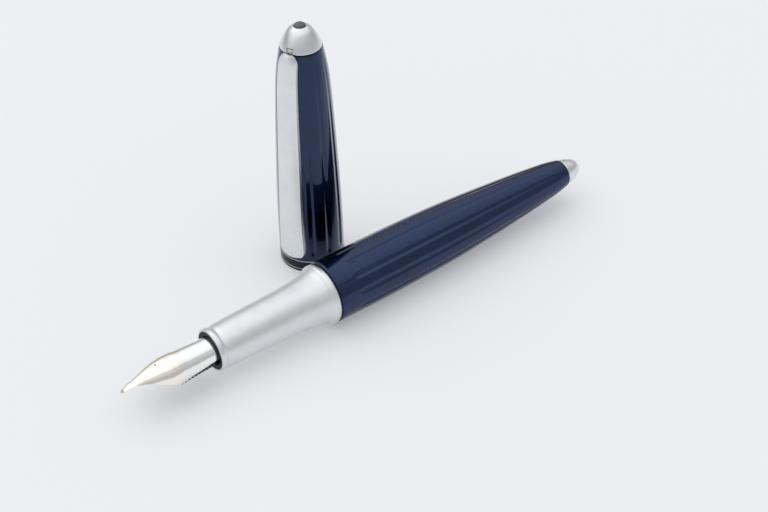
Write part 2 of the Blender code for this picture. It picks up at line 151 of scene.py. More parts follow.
THREAD_PITCH = 0.9
THREAD_RUN_OUT = 0.5
TAIL_CONE = [(123.3, 3.3), (125.2, 2.84), (126.8, 2.28), (127.7, 1.75), (128.2, 1.18), (128.4, 0.68)]
FINIAL_CONE = [(57.05, 4.7), (58.6, 4.05), (60.2, 3.15), (61.35, 2.1), (61.75, 1.5)]

# Nib: distance from the tip, half width, height of the crown, height of the edge.
NIB_SHEET = 0.32
NIB_LENGTH = 31.0
NIB_RADIUS = 3.3
NIB_SECTIONS = [
    (0.4, 0.42, 1.24, 1.12), (2.6, 1.0, 1.95, 1.65), (4.8, 1.8, 2.7, 1.6), (7.0, 2.8, 3.3, 1.15),
    (9.0, 3.45, 3.7, 0.2), (11.0, 3.85, 3.85, -0.65), (12.4, 3.57, 3.85, -1.44), (15.0, 3.47, 3.6, -0.95),
    (18.0, 3.4, 3.45, -0.6), (22.0, NIB_RADIUS, NIB_RADIUS, -0.14),
    (NIB_LENGTH, NIB_RADIUS, NIB_RADIUS, -0.14),
]
BREATHER = (8.6, 0.22)
SLIT_WIDTH = 0.07
TIPPING_RADIUS = 0.42

# Feed: distance from the tip, height of the centre, radius. Then its comb, whose fins start at an angle
# from the top that depends on the distance. A fin's edge is (distance along it, share of its height).
FEED_ROUNDS = [(4.8, 1.45, 0.3), (7.2, 1.25, 1.3), (10.0, 0.6, 2.4), (12.6, 0.0, 3.1)]
FEED_RADII = [(12.6, 3.1), (22.0, 2.85)]
FEED_END = 35.0
FINS = 9
FIN_START = 12.8
FIN_PITCH = 0.9
FIN_LENGTH = 0.58
FIN_EDGE = [(0.03, 0.85), (0.08, 1.0), (0.5, 1.0), (0.55, 0.85)]
FIN_RADII = [(12.8, 3.72), (17.0, 3.42), (22.0, 3.2)]
FIN_ROOT_DEPTH = 0.75
FIN_CORNER = 2.6
FIN_FROM_DEG = [(12.4, 113.0), (22.0, 95.0)]
FIN_BLEND = 0.08

# Converter: the piston's screw and the knob's knurls.
SCREW_SPAN = (53.5, 91.6)
SCREW_LEAD = 4.0
SCREW_STARTS = 3
SCREW_RADIUS = 1.0
SCREW_DEPTH = 0.13
KNURLS = 32
KNURL_DEPTH = 0.16

# Clip, in the cap's own axes.
CLIP_BOTTOM = 4.7
CLIP_TOP = 57.3
CLIP_STAND_OFF = 0.35
CLIP_SHEET = 0.8
CLIP_CROWN = 0.5
CLIP_CROWN_POWER = 2.4
CLIP_FOLD = 0.22
CLIP_CEILING = 0.55
CLIP_WALL = 0.5
CLIP_HUG = 0.2
CLIP_TOP_ROOM = 0.13
CLIP_HALF_WIDTHS = [
    (4.7, 1.7), (4.8, 2.1), (5.05, 2.5), (5.5, 2.82), (6.2, 3.02), (7.5, 3.1), (20.0, 2.9), (40.0, 2.53),
    (54.4, 2.24), (55.5, 2.12), (56.3, 1.88), (56.85, 1.58), (57.3, 1.15),
]
PIN = (3.0, 54.9)
PIN_HOLE = 0.5
EYE_RADIUS = 0.85
TAB_HALF = 0.8
TAB_SPACE = 0.04
PAD_HEIGHT = 6.4

# Cap trim: the rim's metal lines, and the snap ring's centre line and half thicknesses.
RIM_LINES = (0.75, 3.0)
RIM_LINE_WIDTH = 0.13
SNAP_RADIUS = 6.17
SNAP_HEIGHT = 8.6
SNAP_HALF_DEPTH = 0.31
SNAP_HALF_HEIGHT = 0.95
SNAP_GAP_DEG = 14


# ---- curves --------------------------------------------------------------------------------------


def spline(points, along):
    """Natural cubic spline through points, for long outlines whose curvature has to be smooth."""
    x, y = np.array(points, float).T
    step = np.diff(x)
    system = np.eye(len(x))
    right = np.zeros(len(x))
    for i in range(1, len(x) - 1):
        system[i, i - 1 : i + 2] = step[i - 1], 2 * (step[i - 1] + step[i]), step[i]
        right[i] = 3 * ((y[i + 1] - y[i]) / step[i] - (y[i] - y[i - 1]) / step[i - 1])
    c = np.linalg.solve(system, right)
    b = np.diff(y) / step - step * (2 * c[:-1] + c[1:]) / 3
    d = np.diff(c) / (3 * step)
    t = np.clip(np.asarray(along, float), x[0], x[-1])
    i = np.clip(np.searchsorted(x, t, side="right") - 1, 0, len(step) - 1)
    u = t - x[i]
    return y[i] + u * (b[i] + u * (c[i] + u * d[i]))


def monotone(points, along):
    """Cubic through points that never swings past them, for outlines with beads and grooves."""
    x, y = np.array(points, float).T
    step = np.diff(x)
    slope = np.diff(y) / step
    tangent = np.zeros(len(x))
    tangent[0], tangent[-1] = slope[0], slope[-1]
    for i in range(1, len(x) - 1):
        if slope[i - 1] * slope[i] > 0:
            tangent[i] = 2 * slope[i - 1] * slope[i] / (slope[i - 1] + slope[i])
    t = np.clip(np.asarray(along, float), x[0], x[-1])
    i = np.clip(np.searchsorted(x, t, side="right") - 1, 0, len(step) - 1)
    u = (t - x[i]) / step[i]
    start = (1 + 2 * u) * (1 - u) ** 2 * y[i] + u * (1 - u) ** 2 * step[i] * tangent[i]
    end = u**2 * (3 - 2 * u) * y[i + 1] - u**2 * (1 - u) * step[i] * tangent[i + 1]
    return start + end


def traced(curve, points, stations):
    """(along, radius) pairs of a curve at the stations."""
    return list(zip(np.asarray(stations, float), curve(points, stations)))


def rounded(profile, size, steps=3):
    """The profile, with a small fillet at each of its corners that isn't on the axis."""
    corners = [np.array(point, float) for point in profile]
    count = len(corners)
    made = []
    for i, corner in enumerate(corners):
        before, after = corners[i - 1], corners[(i + 1) % count]
        into, out = before - corner, after - corner
        reach = min(size, 0.45 * np.linalg.norm(into), 0.45 * np.linalg.norm(out))
        if corner[1] <= 0 or reach < TINY:
            made.append(tuple(corner))
            continue
        start = corner + into / np.linalg.norm(into) * reach
        end = corner + out / np.linalg.norm(out) * reach
        for t in np.linspace(0, 1, steps + 1):
            made.append(tuple((1 - t) ** 2 * start + 2 * t * (1 - t) * corner + t**2 * end))
    return made


# ---- meshes --------------------------------------------------------------------------------------


def on_pen(along, radius, angles):
    angles = np.asarray(angles, float)
    return np.stack([along + 0 * angles, -radius * np.sin(angles), radius * np.cos(angles)], axis=1)


def on_cap(along, radius, angles):
    angles = np.asarray(angles, float)
    return np.stack([radius * np.cos(angles), radius * np.sin(angles), along + 0 * angles], axis=1)


def skin(rings, closed=False, capped=False):
    """Points and faces through rings of points; a ring of one point is a pole."""
    starts = np.cumsum([0] + [len(ring) for ring in rings])
    pairs = list(zip(range(len(rings) - 1), range(1, len(rings))))
    if closed:
        pairs.append((len(rings) - 1, 0))
    faces = []
    for one, two in pairs:
        a, b = int(starts[one]), int(starts[two])
        sides = max(len(rings[one]), len(rings[two]))
        for i in range(sides):
            j = (i + 1) % sides
            if len(rings[one]) == 1:
                faces.append((a, b + i, b + j))
            elif len(rings[two]) == 1:
                faces.append((a + i, b, a + j))
            else:
                faces.append((a + i, b + i, b + j, a + j))
    if capped:
        faces.append(tuple(range(len(rings[0]))))
        faces.append(tuple(range(int(starts[-2]), int(starts[-1]))))
    return np.concatenate(rings), faces


def closed_mesh(name, made):
    """A mesh from points in millimetres and faces, with its faces turned outwards."""
    points, faces = made
    mesh = bpy.data.meshes.new(name)
    mesh.from_pydata((points * MM).tolist(), [], faces)
    shape = bmesh.new()
    shape.from_mesh(mesh)
    bmesh.ops.recalc_face_normals(shape, faces=shape.faces)
    if shape.calc_volume(signed=True) < 0:
        bmesh.ops.reverse_faces(shape, faces=shape.faces)
    shape.to_mesh(mesh)
    shape.free()
    return mesh


def smooth(mesh):
    mesh.shade_smooth()
    mesh.set_sharp_from_angle(angle=math.radians(SHARP_DEG))


def piece(name, made, place, node, look, stands_for=True, even_shading=False):
    """A closed mesh as a piece that rides with a CAD node's body and, mostly, replaces it."""
    mesh = closed_mesh(name, made)
    mesh.transform(place.to_3x3().to_4x4())
    smooth(mesh)
    thing = bpy.data.objects.new(name, mesh)
    bpy.context.scene.collection.objects.link(thing)
    thing.location = place.translation
    mesh.materials.append(look)
    if even_shading:
        weighted = thing.modifiers.new("even_shading", "WEIGHTED_NORMAL")
        weighted.keep_sharp = True
    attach(thing, BODY_OF[node])
    if stands_for:
        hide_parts(node)
    return thing


def lathe(profile, axis, sides=96):
    """A profile turned round the axis: a closed ring, or a solid whose ends lie on the axis."""
    angles = np.linspace(0, math.tau, sides, endpoint=False)
    rings = [axis(along, radius, angles if radius > TINY else [0.0]) for along, radius in profile]
    return skin(rings, closed=profile[0][1] > TINY)


def place_of(axis):
    return PEN_PLACE if axis is on_pen else CAP_PLACE


def turned(name, profile, axis, node, look, sides=96, fillet=0.08, stands_for=True):
    """A turned piece with eased corners."""
    made = lathe(rounded(profile, fillet), axis, sides)
    piece(name, made, place_of(axis), node, look, stands_for, even_shading=True)


def subtract(thing, cutters):
    """Cuts closed helper meshes out of a piece, and removes the helpers."""
    for cutter in cutters:
        change = thing.modifiers.new("cut", "BOOLEAN")
        change.operation = "DIFFERENCE"
        change.solver = "EXACT"
        change.object = cutter
    bpy.context.view_layer.update()
    graph = bpy.context.evaluated_depsgraph_get()
    result = bpy.data.meshes.new_from_object(thing.evaluated_get(graph))
    thing.modifiers.clear()
    old = thing.data
    thing.data = result
    result.name = old.name
    smooth(result)
    for cutter in cutters:
        bpy.data.objects.remove(cutter)


def helper(made, place):
    """A closed mesh to cut with, which isn't part of the object."""
    thing = bpy.data.objects.new("helper", closed_mesh("helper", made))
    bpy.context.scene.collection.objects.link(thing)
    thing.matrix_world = place
    return thing


def box_mesh(low, high):
    (x0, y0, z0), (x1, y1, z1) = low, high
    rings = [np.array([(x, y0, z0), (x, y1, z0), (x, y1, z1), (x, y0, z1)], float) for x in (x0, x1)]
    return skin(rings, capped=True)


def rod_mesh(start, end, radius, sides=32):
    """A round bar between two points, for cutting holes."""
    start, end = Vector(start), Vector(end)
    turn = (end - start).to_track_quat("Z", "Y").to_matrix()
    rings = []
    for centre in (start, end):
        ring = [
            centre + turn @ Vector((radius * math.cos(a), radius * math.sin(a), 0.0))
            for a in np.linspace(0, math.tau, sides, endpoint=False)
        ]
        rings.append(np.array([tuple(point) for point in ring]))
    return skin(rings, capped=True)


# ---- finishes ------------------------------------------------------------------------------------


class Finish:
    """A Principled material whose detail comes from a few noise and wave nodes."""

    def __init__(self, name, colour, roughness, metallic=0.0, **sockets):
        self.material = bpy.data.materials.new(name)
        self.material.use_nodes = True
        self.nodes = self.material.node_tree.nodes
        self.links = self.material.node_tree.links
        self.shader = self.nodes["Principled BSDF"]
        self.shader.inputs["Base Color"].default_value = (*colour, 1.0)
        self.shader.inputs["Roughness"].default_value = roughness
        self.shader.inputs["Metallic"].default_value = metallic
        for socket, value in sockets.items():
            self.shader.inputs[socket.replace("_", " ")].default_value = value
        self.where = self.nodes.new("ShaderNodeTexCoord").outputs["Object"]
        self.normal = None

    def noise(self, size, stretch=(1.0, 1.0, 1.0), detail=2.0):
        """Noise whose grains are about size millimetres across."""
        mapping = self.nodes.new("ShaderNodeMapping")
        mapping.inputs["Scale"].default_value = stretch
        self.links.new(self.where, mapping.inputs["Vector"])
        node = self.nodes.new("ShaderNodeTexNoise")
        node.inputs["Scale"].default_value = 1.0 / (size * MM)
        node.inputs["Detail"].default_value = detail
        self.links.new(mapping.outputs["Vector"], node.inputs["Vector"])
        return node.outputs["Fac"]

    def rings(self, pitch, direction):
        """Fine turning marks, one every pitch millimetres along an axis."""
        node = self.nodes.new("ShaderNodeTexWave")
        node.bands_direction = direction
        node.inputs["Scale"].default_value = math.tau / 20.0 / (pitch * MM)
        node.inputs["Distortion"].default_value = 0.4
        self.links.new(self.where, node.inputs["Vector"])
        return node.outputs["Fac"]

    def ranged(self, value, low, high, start=0.3, end=0.7):
        """A value that runs from low to high while the given one runs from start to end."""
        node = self.nodes.new("ShaderNodeMapRange")
        node.inputs["From Min"].default_value = start
        node.inputs["From Max"].default_value = end
        node.inputs["To Min"].default_value = low
        node.inputs["To Max"].default_value = high
        self.links.new(value, node.inputs["Value"])
        return node.outputs["Result"]

    def roughen(self, value, low, high):
        self.links.new(self.ranged(value, low, high), self.shader.inputs["Roughness"])

    def tint(self, value, one, two, start=0.3, end=0.7):
        """Base colour that runs from one colour to the other with a value."""
        node = self.nodes.new("ShaderNodeMix")
        node.data_type = "RGBA"
        node.inputs["A"].default_value = (*one, 1.0)
        node.inputs["B"].default_value = (*two, 1.0)
        self.links.new(self.ranged(value, 0.0, 1.0, start, end), node.inputs["Factor"])
        self.links.new(node.outputs["Result"], self.shader.inputs["Base Color"])

    def relief(self, value, height, strength=1.0):
        """Bump of a real height in millimetres."""
        node = self.nodes.new("ShaderNodeBump")
        node.inputs["Strength"].default_value = strength
        node.inputs["Distance"].default_value = height * MM
        self.links.new(value, node.inputs["Height"])
        if self.normal is not None:
            self.links.new(self.normal, node.inputs["Normal"])
        self.normal = node.outputs["Normal"]
        self.links.new(self.normal, self.shader.inputs["Normal"])


def navy_lacquer(name, colour, roughness, edge, coat_roughness):
    """Deep blue lacquer over metal, with a clear top coat and a trace of orange peel."""
    look = Finish(
        name, colour, roughness, 1.0, Coat_Weight=1.0, Coat_Roughness=coat_roughness, Coat_IOR=1.4
    )
    look.shader.inputs["Specular Tint"].default_value = (*edge, 1.0)
    look.tint(look.noise(9.0), colour, tuple(channel * 1.2 for channel in colour))
    look.roughen(look.noise(0.35), roughness * 0.85, roughness * 1.2)
    look.relief(look.noise(1.1, detail=1.0), 0.0008)
    return look.material


def satin_silver(name, roughness, direction=None):
    """Bead-blasted, clear-anodised aluminium; turned pieces keep faint lathe rings."""
    look = Finish(name, (0.76, 0.775, 0.79), roughness, 1.0)
    look.tint(look.noise(2.5), (0.74, 0.755, 0.772), (0.785, 0.798, 0.812))
    look.roughen(look.noise(0.12), roughness * 0.85, roughness * 1.15)
    look.relief(look.noise(0.09), 0.0035, 0.6)
    if direction:
        look.relief(look.rings(0.22, direction), 0.0012, 0.4)
    return look.material


def plated_nib():
    """Polished steel, with pale gold plating from the tip to a line behind the shoulders."""
    look = Finish("plated_nib", (0.9, 0.88, 0.84), 0.14, 1.0)
    split = look.nodes.new("ShaderNodeSeparateXYZ")
    look.links.new(look.where, split.inputs["Vector"])
    look.tint(split.outputs["X"], (0.985, 0.925, 0.83), (0.94, 0.93, 0.92), 0.0125, 0.0145)
    look.roughen(look.noise(0.2, (1.0, 6.0, 6.0)), 0.1, 0.18)
    look.relief(look.noise(0.15, (0.2, 3.0, 3.0)), 0.0006)
    return look.material


def moulded(name, colour, roughness, grain=0.15, **sockets):
    """Moulded plastic or rubber with a fine surface grain."""
    look = Finish(name, colour, roughness, **sockets)
    lighter = tuple(channel * 1.25 for channel in colour)
    look.tint(look.noise(1.8), colour, lighter)
    look.roughen(look.noise(grain * 2), roughness * 0.85, roughness * 1.2)
    look.relief(look.noise(grain), 0.003, 0.5)
    return look.material


def turned_metal(name, colour, roughness, direction, pitch=0.18):
    """Machined metal with turning marks across its axis and a slight tarnish."""
    look = Finish(name, colour, roughness, 1.0)
    darker = tuple(channel * 0.86 for channel in colour)
    look.tint(look.noise(1.4), darker, colour)
    look.roughen(look.noise(0.25), roughness * 0.8, roughness * 1.3)
    look.relief(look.rings(pitch, direction), 0.002, 0.6)
    return look.material


def clear_plastic():
    look = Finish("clear_plastic", (0.93, 0.95, 0.96), 0.06, Transmission_Weight=1.0, IOR=1.49)
    look.roughen(look.noise(0.6), 0.03, 0.1)
    look.relief(look.noise(2.0), 0.002, 0.4)
    return look.material


def finishes():
    return {
        "barrel": navy_lacquer("navy_lacquer_barrel", (0.004, 0.019, 0.07), 0.26, (0.25, 0.3, 0.4), 0.07),
        "cap": navy_lacquer("navy_lacquer_cap", (0.0033, 0.0155, 0.055), 0.16, (1.0, 1.0, 1.0), 0.03),
        "grip": satin_silver("satin_grip", 0.4, "X"),
        "trim": satin_silver("satin_trim", 0.3),
        "clip": satin_silver("satin_clip", 0.3),
        "nib": plated_nib(),
        "tipping": turned_metal("tipping_alloy", (0.55, 0.54, 0.53), 0.3, "X", 0.1),
        # Near-black with a weak reflection: painted shade for the cap's lip, which mirrors the shadowed floor.
        "band": moulded("band_painted_shade", (0.004, 0.006, 0.014), 0.2, Specular_IOR_Level=0.25),
        "plastic": moulded("black_plastic", (0.012, 0.012, 0.014), 0.28),
        "collar": moulded("matt_black_plastic", (0.006, 0.006, 0.007), 0.5, Specular_IOR_Level=0.25),
        "rubber": moulded("black_rubber", (0.018, 0.018, 0.02), 0.6),
        "liner": moulded("grey_plastic", (0.16, 0.17, 0.19), 0.42),
        "inlay": moulded("dark_enamel", (0.075, 0.068, 0.062), 0.2, 0.4, Coat_Weight=0.6),
        "brass_x": turned_metal("brass_pen", (0.78, 0.56, 0.25), 0.3, "X"),
        "brass_z": turned_metal("brass_cap", (0.78, 0.56, 0.25), 0.3, "Z"),
        "steel_x": turned_metal("polished_steel", (0.72, 0.72, 0.74), 0.18, "X"),
        "steel_z": turned_metal("spring_steel", (0.55, 0.56, 0.58), 0.28, "Z"),
        "clear": clear_plastic(),
    }


# ---- barrel and cap shells -----------------------------------------------------------------------


def shell_angles():
    """Angles round a fluted shell, crowded where the channel walls are."""
    pitch = 360.0 / FLUTES
    rising = np.array(COLUMN_STEPS)
    one = np.concatenate([-rising[:0:-1], rising[:-1]])
    return np.radians(np.concatenate([ridge * pitch + one for ridge in range(FLUTES)]))


def channel_depth(along, angles, radius, span):
    """How far the surface lies below the outline, for round-cornered channels with sloped walls."""
    pitch = 360.0 / FLUTES
    from_centre = np.abs(np.degrees(angles) % pitch - pitch / 2)
    across = np.radians(from_centre) * radius - math.radians(CHANNEL_HALF_DEG) * radius + CHANNEL_CORNER
    length = (abs(along - sum(span) / 2) - (span[1] - span[0]) / 2) * END_SLOPE + CHANNEL_CORNER
    outside = np.hypot(np.maximum(across, 0.0), max(length, 0.0))
    distance = outside + np.minimum(np.maximum(across, length), 0.0) - CHANNEL_CORNER
    share = np.clip((WALL_HALF - distance) / (2 * WALL_HALF), 0.0, 1.0)
    floor_depth = np.interp(along, span, (FLUTE_DEPTH, FLUTE_END_DEPTH))
    return floor_depth * share**2 * (3 - 2 * share)


def shell_stations(first, last, span):
    """Stations along a shell, crowded round the channels' ends."""
    near = np.array([-1.2, -0.9, -0.5, -0.3, -0.15, 0.0, 0.15, 0.3, 0.5, 0.75, 1.1, 1.5, 2.0])
    ends = np.concatenate([span[0] + near, span[1] - near])
    plain = np.arange(first + 1.0, last - 0.6, 1.25)
    free = [s for s in plain if np.min(np.abs(ends - s)) > 0.45]
    return np.unique(np.concatenate([free, ends, [last - 0.45]]))


def fluted_shell(node, outer, inner, span, turn_deg, axis, look):
    """A barrel or cap shell, with its bore, eased rims and flutes."""
    angles = shell_angles()
    turned_angles = angles + math.radians(turn_deg)
    first, last = outer[0][0], outer[-1][0]
    mouth, tip = outer[0][1], outer[-1][1]
    rings = [axis(first + inset, mouth - depth, turned_angles) for inset, depth in MOUTH_EASE]
    for along in shell_stations(first, last, span):
        radius = float(spline(outer, along))
        rings.append(axis(along, radius - channel_depth(along, angles, radius, span), turned_angles))
    slope = (float(spline(outer, last - 0.1)) - tip) / 0.1
    rings.append(axis(last - TIP_EASE_START, tip + slope * TIP_EASE_START, turned_angles))
    rings += [axis(last - inset, tip - depth, turned_angles) for inset, depth in TIP_EASE]
    rings += [axis(along, radius, turned_angles) for along, radius in inner]
    return piece(node, skin(rings, closed=True), place_of(axis), node, look)


# ---- writing end ---------------------------------------------------------------------------------


def nib_ring(along):
    """One section of the nib: an arc of sheet whose width, crown and edge heights follow the table."""
    half, crown, low = (
        float(monotone([(row[0], row[column]) for row in NIB_SECTIONS], along)) for column in (1, 2, 3)
    )
    rise = crown - low
    radius = (half**2 + rise**2) / (2 * rise)
    centre = crown - radius
    reach = math.atan2(half, low - centre)
    turn = np.linspace(-reach, reach, 41)

    def arc(at, angles):
        return np.stack([at * np.sin(angles), centre + at * np.cos(angles)], axis=1)

    outer = arc(radius, turn)
    inner = arc(radius - NIB_SHEET, turn)
    tilt = 0.3 * NIB_SHEET / radius
    right = arc(radius - NIB_SHEET / 2, np.array([reach + tilt]))
    left = right * (-1, 1)
    section = np.concatenate([outer, right, inner[::-1], left])
    return np.column_stack([np.full(len(section), along), section])


def nib(look):
    """Split nib of sheet metal with its breather hole and tipping."""
    stations = np.unique(np.concatenate([
        np.linspace(0.45, 4.0, 12), np.linspace(4.0, 16.0, 49), np.linspace(16.0, NIB_LENGTH, 12)
    ]))
    sheet = piece("nib", skin([nib_ring(s) for s in stations], capped=True), PEN_PLACE, "nib", look["nib"])
    hole_x, hole_radius = BREATHER
    breather = helper(rod_mesh((hole_x, 0, 1.5), (hole_x, 0, 5.0), hole_radius), PEN_PLACE)
    slit = helper(box_mesh((-1.0, -SLIT_WIDTH / 2, 0.0), (hole_x, SLIT_WIDTH / 2, 6.0)), PEN_PLACE)
    subtract(sheet, [slit, breather])
    tipping(look)


def tipping(look):
    """The pellet at the tip: a ball flattened on its writing side and split by the slit."""
    rings = []
    for turn in np.linspace(0, math.pi, 17):
        along = TIPPING_RADIUS * (1 - math.cos(turn))
        radius = TIPPING_RADIUS * math.sin(turn)
        if radius < TINY:
            rings.append(np.array([(along, 0.0, 1.0)]))
            continue
        ring = on_pen(along, radius, np.linspace(0, math.tau, 32, endpoint=False))
        ring[:, 2] = np.where(ring[:, 2] < 0, ring[:, 2] * 0.75, ring[:, 2] * 0.8) + 1.0
        rings.append(ring)
    ball = piece("nib_tipping", skin(rings), PEN_PLACE, "nib", look["tipping"], stands_for=False)
    slit = helper(box_mesh((-1.0, -SLIT_WIDTH / 2, 0.0), (3.0, SLIT_WIDTH / 2, 3.0)), PEN_PLACE)
    subtract(ball, [slit])


def feed(look):
    """Ink feed: a horn under the tines, then a bar whose lower half is cut into a comb."""
    angles = np.linspace(0, math.tau, 96, endpoint=False)
    rounds = []
    heights = [(along, centre) for along, centre, _ in FEED_ROUNDS]
    radii = [(along, radius) for along, _, radius in FEED_ROUNDS]
    for along in np.linspace(FEED_ROUNDS[0][0], FEED_ROUNDS[-1][0], 24):
        rounds.append((along, float(monotone(heights, along)), float(monotone(radii, along)), 0.0))
    for fin in range(FINS):
        start = FIN_START + fin * FIN_PITCH
        body = float(monotone(FEED_RADII, start))
        tooth = float(monotone(FIN_RADII, start)) - body
        rounds.append((start, 0.0, body, -FIN_ROOT_DEPTH))
        rounds += [(start + offset, 0.0, body, tooth * share) for offset, share in FIN_EDGE]
        rounds.append((start + FIN_LENGTH, 0.0, body, -FIN_ROOT_DEPTH))
    last = FIN_START + FINS * FIN_PITCH
    comb_end, shank = FEED_RADII[-1]
    behind = [
        (last, 3.0, 0.2), (comb_end - 0.05, shank, 0.35), (comb_end, shank, 0.0),
        (FEED_END - 0.3, shank, 0.0), (FEED_END, 2.55, 0.0),
    ]
    rounds += [(along, 0.0, radius, proud) for along, radius, proud in behind]
    rings = []
    for along, centre, radius, proud in rounds:
        start = math.radians(float(monotone(FIN_FROM_DEG, along)))
        below = np.clip((math.cos(start) - np.cos(angles)) / FIN_BLEND, 0.0, 1.0)
        square = FIN_CORNER / np.maximum(np.abs(np.sin(angles)), np.abs(np.cos(angles)))
        reach = np.where(proud > 0, np.minimum(radius + proud, square) - radius, proud)
        ring = on_pen(along, radius + below * reach, angles)
        ring[:, 2] += centre
        rings.append(ring)
    piece("feed", skin(rings, capped=True), PEN_PLACE, "feed", look["plastic"])


def grip(look):
    """Tapered metal grip with its lip bead, groove and flange, and the threaded spigot behind."""
    angles = np.linspace(0, math.tau, 144, endpoint=False)
    stations = np.unique(np.concatenate([
        np.linspace(22.0, 26.0, 41), np.linspace(26.0, 48.0, 34), np.linspace(48.0, 51.9, 27)
    ]))
    rings = [on_pen(s, float(monotone(GRIP_OUTER, s)), angles) for s in stations]
    flange_end = GRIP_OUTER[-1][0]
    rings.append(on_pen(flange_end, THREAD_TOP + 0.1, angles))
    rings.append(on_pen(flange_end + 0.1, THREAD_TOP, angles))
    start, end = THREAD_SPAN
    for along in np.arange(start, end + 0.01, THREAD_PITCH / 9):
        fade = min(1.0, (along - start) / THREAD_RUN_OUT, (end - along) / THREAD_RUN_OUT)
        wave = 0.5 - 0.5 * np.cos(math.tau * along / THREAD_PITCH - angles)
        rings.append(on_pen(along, THREAD_TOP - THREAD_DEPTH * max(fade, 0.0) * wave, angles))
    rings += [on_pen(along, radius, angles) for along, radius in GRIP_INNER]
    piece("grip_section", skin(rings, closed=True), PEN_PLACE, "grip_section", look["grip"])
    turned("nib_collar", COLLAR, on_pen, "nib_collar", look["collar"])


# ---- barrel end and converter --------------------------------------------------------------------


def seal_and_tail(look):
    """Ring between the flange and the barrel, and the cone at the tail with its post."""
    seal = [(52.0, 5.62), (52.0, 6.95), (52.3, 6.95), (52.3, 5.62)]
    turned("barrel_seal_ring", seal, on_pen, "barrel_seal_ring", look["rubber"])
    cone = traced(spline, TAIL_CONE, np.linspace(123.42, 128.4, 26))
    profile = [
        (116.4, 0.0), (116.4, 1.4), (116.5, 1.5), (123.3, 1.5), (123.3, 3.2), (123.33, 3.27), *cone,
        (128.46, 0.4), (128.49, 0.2), (PEN_LENGTH, 0.0),
    ]
    made = lathe(profile, on_pen)
    piece("tail_finial", made, PEN_PLACE, "tail_finial", look["trim"], even_shading=True)


def converter(look):
    """Piston converter: clear tube, pressed ferrule, ribbed seal, screw and knurled knob."""
    tube = [
        (42.2, 3.5), (86.0, 3.5), (86.0, 2.85), (48.6, 2.85), (48.6, 0.6), (47.3, 0.6), (47.3, 1.25),
        (42.2, 1.25),
    ]
    turned("converter_tube", tube, on_pen, "converter_tube", look["clear"])
    ferrule = [
        (78.0, 3.8), (78.3, 3.9), (79.4, 3.9), (79.8, 3.82), (80.2, 3.9), (94.0, 3.9), (94.3, 3.82),
        (94.6, 3.9), (95.0, 3.82), (95.0, 3.6), (78.0, 3.6),
    ]
    turned("converter_ferrule", ferrule, on_pen, "converter_ferrule", look["steel_x"], fillet=0.05)
    seal = [
        (50.2, 0.0), (50.2, 2.6), (50.35, 2.73), (50.85, 2.73), (51.2, 2.6), (51.6, 2.45), (52.2, 2.45),
        (52.5, 2.6), (52.8, 2.73), (53.25, 2.73), (53.4, 2.6), (53.4, 0.0),
    ]
    turned("piston_seal", seal, on_pen, "piston_seal", look["rubber"])
    screw(look)
    knob(look)


def screw(look):
    """Piston rod with the slow multi-start thread that the drive nut runs on."""
    angles = np.linspace(0, math.tau, 48, endpoint=False)
    start, end = SCREW_SPAN
    rings = [on_pen(start, 0.0, [0.0]), on_pen(start, 0.9, angles)]
    for along in np.linspace(start + 0.1, end - 0.1, 160):
        wave = 0.5 + 0.5 * np.cos(SCREW_STARTS * (math.tau * along / SCREW_LEAD - angles))
        rings.append(on_pen(along, SCREW_RADIUS - SCREW_DEPTH * wave, angles))
    rings += [on_pen(end, 0.85, angles), on_pen(end, 0.0, [0.0])]
    piece("piston_rod", skin(rings), PEN_PLACE, "piston_rod", look["plastic"])


def knob(look):
    """Turning knob: a plain neck in the ferrule, a bead, and a head with lengthwise knurls."""
    angles = np.linspace(0, math.tau, 192, endpoint=False)
    knurl = 0.5 - 0.5 * np.cos(KNURLS * angles)
    inner = [(109.0, 0.0), (109.0, 1.22), (97.0, 1.22), (97.0, 2.3), (88.9, 2.3), (88.9, 3.35)]
    outer = [
        (89.0, 3.4, 0), (95.3, 3.4, 0), (95.3, 3.55, 0), (95.4, 3.65, 0), (97.8, 3.65, 0), (98.0, 3.6, 0),
        (98.4, 3.35, 0), (98.9, 3.34, 0), (99.2, 3.33, 1), (103.0, 3.3, 1), (108.2, 3.26, 1),
        (108.6, 3.24, 0), (109.3, 3.05, 0), (109.8, 2.75, 0), (110.0, 2.4, 0), (110.0, 0.0, 0),
    ]
    rings = [on_pen(along, radius, angles if radius else [0.0]) for along, radius in inner]
    for along, radius, cut in outer[:-1]:
        rings.append(on_pen(along, radius - KNURL_DEPTH * cut * knurl, angles))
    rings.append(on_pen(outer[-1][0], 0.0, [0.0]))
    piece("converter_knob", skin(rings), PEN_PLACE, "converter_knob", look["steel_x"])


# ---- cap -----------------------------------------------------------------------------------------


def cap_body(look):
    """Cap shell with the notch that the clip's knuckle passes through, and the inner cap."""
    shell = fluted_shell("cap_shell", CAP_OUTER, CAP_INNER, CAP_FLUTES, CAP_TURN, on_cap, look["cap"])
    notch = helper(box_mesh((3.0, -1.3, 53.2), (8.0, 1.3, 58.0)), CAP_PLACE)
    subtract(shell, [notch])
    liner = [
        (51.5, 0.0), (51.5, 4.0), (40.0, 4.94), (25.0, 5.57), (12.0, 5.93), (12.0, 6.48), (25.0, 6.12),
        (40.0, 5.49), (50.0, 4.78), (52.3, 4.58), (52.3, 0.0),
    ]
    turned("cap_liner", liner, on_cap, "cap_liner", look["liner"])


